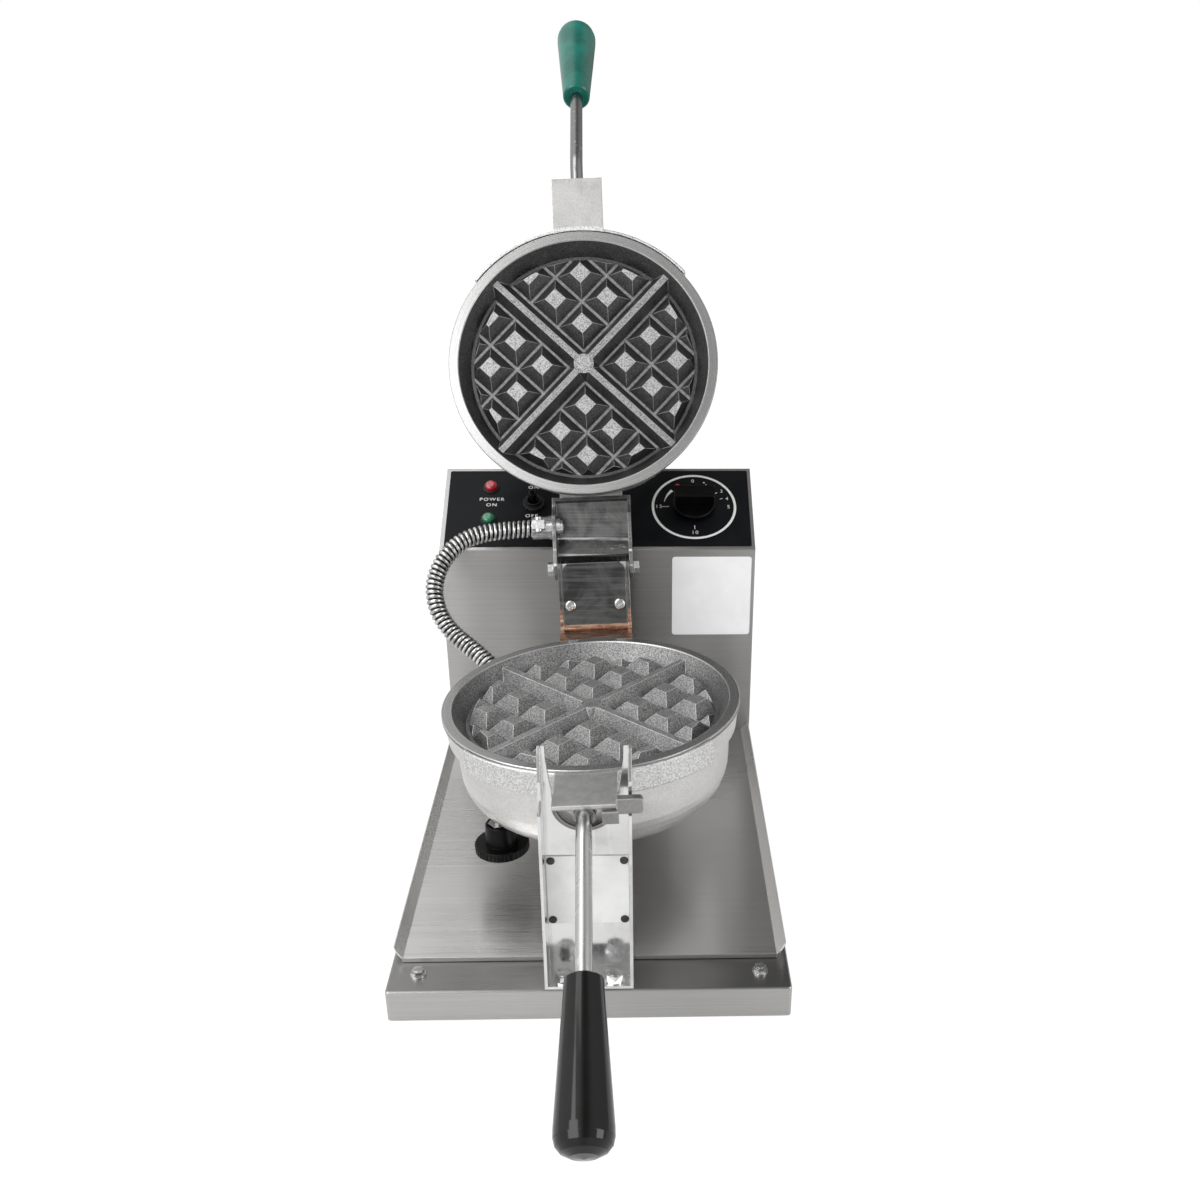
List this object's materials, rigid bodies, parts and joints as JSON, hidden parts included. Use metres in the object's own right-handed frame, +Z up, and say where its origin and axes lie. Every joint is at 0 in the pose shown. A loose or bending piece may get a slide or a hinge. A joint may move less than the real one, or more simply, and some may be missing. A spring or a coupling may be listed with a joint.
{
  "type": "rotating waffle iron",
  "caption": "Round waffle iron on a long base: two hinged cast halves on one turning axis, bent handles, steel control box with lamps, switch and timer.",
  "frame": {"origin": "middle of the base's footprint, at the underside of the rubber feet", "axes": "+Z up, -Y towards the operator and the handle of the lower half, +X to the operator's right"},
  "size_m": [0.2565, 0.7679, 0.573],
  "materials": {
    "black_body": "dull black moulding",
    "black_grip": "glossy black moulding",
    "black_knob": "glossy black moulding",
    "brass": "dull brass",
    "bright_zinc": "bright plated fasteners and conduit",
    "cast_body": "cast, satin",
    "cast_dark": "sand cast, darkened with heat, bright worn edges",
    "cast_plate": "sand cast, sparkling grain, bright worn edges",
    "dark_steel": "heat darkened steel sheet with scuffs",
    "green_grip": "glossy green moulding",
    "green_lens": "translucent green lens",
    "heater": "oxidised steel sheath",
    "label": "plain white plate",
    "overlay": "black satin panel film with pale border",
    "polished": "mirror polished stainless sheet",
    "red_lens": "translucent red lens",
    "rubber": "dull black rubber",
    "stainless": "brushed stainless sheet, satin"
  },
  "bodies": {
    "base": {"base_pan": "stainless", "rubber_feet": "rubber", "drip_deck": "stainless", "deck_bolts": "bright_zinc", "front_bracket": "polished", "bracket_bolts": "bright_zinc", "bracket_plate": "label", "plate_rivets": "dark_steel", "control_box_shell": "stainless", "box_bolts": "bright_zinc", "box_back_cover": "stainless", "back_cover_screws": "bright_zinc", "cord_gland": "black_body", "panel_overlay": "overlay", "red_lamp_lens": "red_lens", "green_lamp_lens": "green_lens", "lamp_holders": "black_body", "switch_body": "black_body", "switch_nut": "bright_zinc", "timer_body": "dark_steel", "blank_label": "label", "terminal_block": "black_body", "bearing_housing": "cast_body", "pivot_bush": "brass", "bearing_screws": "bright_zinc"},
    "lower_iron": {"lower_grid_plate": "cast_plate", "lower_casing": "cast_body", "lower_heater": "heater", "lower_thermostat": "bright_zinc", "lower_handle_rod": "bright_zinc", "lower_grip": "black_grip", "stop_tab": "bright_zinc", "hinge_bracket": "dark_steel", "hinge_cover_plate": "dark_steel", "cover_plate_screws": "bright_zinc", "bracket_casing_bolts": "bright_zinc", "pivot_shaft": "bright_zinc", "shaft_locknuts": "bright_zinc", "shaft_collar": "bright_zinc", "hinge_bolts": "bright_zinc", "conduit_fitting": "bright_zinc", "flexible_conduit": "bright_zinc"},
    "lid": {"upper_grid_plate": "cast_dark", "upper_casing": "cast_body", "upper_heater": "heater", "upper_thermostat": "bright_zinc", "upper_handle_rod": "bright_zinc", "upper_grip": "green_grip", "lid_arm": "dark_steel", "arm_casing_bolts": "bright_zinc", "conduit_connector": "bright_zinc", "connector_screws": "bright_zinc"},
    "timer_dial": {"timer_knob": "black_knob", "timer_shaft": "bright_zinc"},
    "power_lever": {"power_toggle": "black_knob"},
    "lower_dial": {"lower_thermostat_knob": "black_knob", "lower_thermostat_shaft": "bright_zinc"},
    "upper_dial": {"upper_thermostat_knob": "black_knob", "upper_thermostat_shaft": "bright_zinc"}
  },
  "joints": [
    {"name": "iron_flip", "type": "hinge", "parent": "base", "child": "lower_iron", "pos_m": [-0.0005, -0.0777, 0.1543], "axis": [0, -1, 0], "range_deg": [0, 16]},
    {"name": "lid_hinge", "type": "hinge", "parent": "lower_iron", "child": "lid", "pos_m": [-0.00202, 0.0723, 0.19227], "axis": [0.9992, 0, 0.0401], "range_deg": [0, 121], "deforming": ["flexible_conduit"]},
    {"name": "timer_turn", "type": "hinge", "parent": "base", "child": "timer_dial", "pos_m": [0.0786, 0.15355, 0.21457], "axis": [0, 0.507, -0.862], "range_deg": [0, 270]},
    {"name": "power_flick", "type": "hinge", "parent": "base", "child": "power_lever", "pos_m": [-0.0531, 0.15529, 0.21791], "axis": [-1, 0, 0], "range_deg": [0, 30]},
    {"name": "lower_thermostat_turn", "type": "hinge", "parent": "lower_iron", "child": "lower_dial", "pos_m": [-0.06208, -0.1203, 0.06776], "axis": [0.0401, 0, -0.9992], "range_deg": [0, 300]},
    {"name": "upper_thermostat_turn", "type": "hinge", "parent": "lid", "child": "upper_dial", "pos_m": [0.05725, 0.21093, 0.33616], "axis": [0.0207, 0.8572, -0.5146], "range_deg": [0, 300]}
  ]
}
